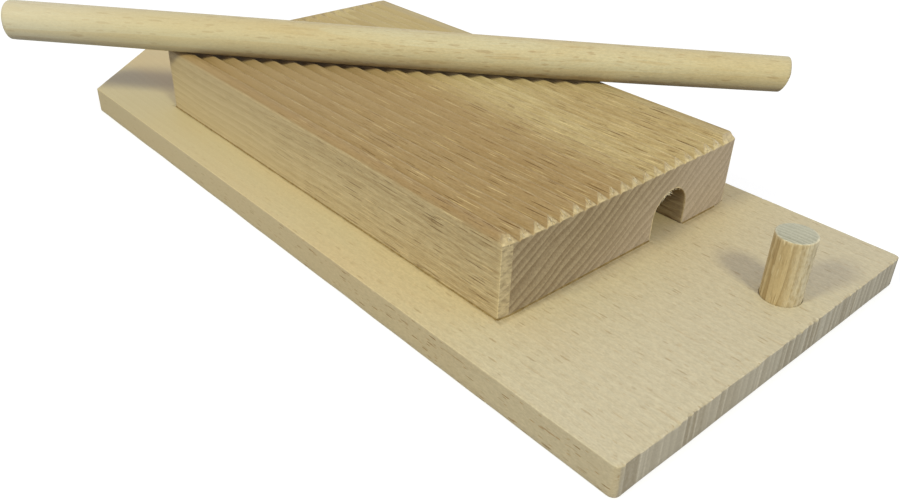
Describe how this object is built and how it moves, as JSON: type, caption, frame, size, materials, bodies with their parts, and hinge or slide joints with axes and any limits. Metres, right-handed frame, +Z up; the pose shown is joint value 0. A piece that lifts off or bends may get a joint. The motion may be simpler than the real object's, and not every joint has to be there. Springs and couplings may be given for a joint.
{
  "type": "gnocchi board",
  "caption": "Wooden board with a ridged block for shaping gnocchi and garganelli, a channel under the block, a stop peg and a loose rolling pin lying across the ridges.",
  "frame": {"origin": "middle of the base board's underside, halfway along its length and width", "axes": "+X along the board towards the end with the stop peg, +Y across it towards the side with the pin channel, +Z up from the worktop"},
  "size_m": [0.24, 0.1484, 0.0372],
  "materials": {
    "base_wood": "planed beech, bare, cream with short brown pore flecks",
    "block_wood": "milled beech, bare, golden tan with long dark pores and pale crests",
    "peg_wood": "turned beech dowel, bare, striped tan and brown",
    "pin_wood": "sanded beech dowel, bare, cream with brown flecks"
  },
  "bodies": {
    "board": {"base_board": "base_wood", "ridged_block": "block_wood", "stop_peg": "peg_wood"},
    "pin": {"rolling_pin": "pin_wood"}
  },
  "joints": [
    {"name": "pin_lift", "type": "slide", "parent": "board", "child": "pin", "axis": [0, 0, 1], "range_m": [0, 0.08]}
  ]
}
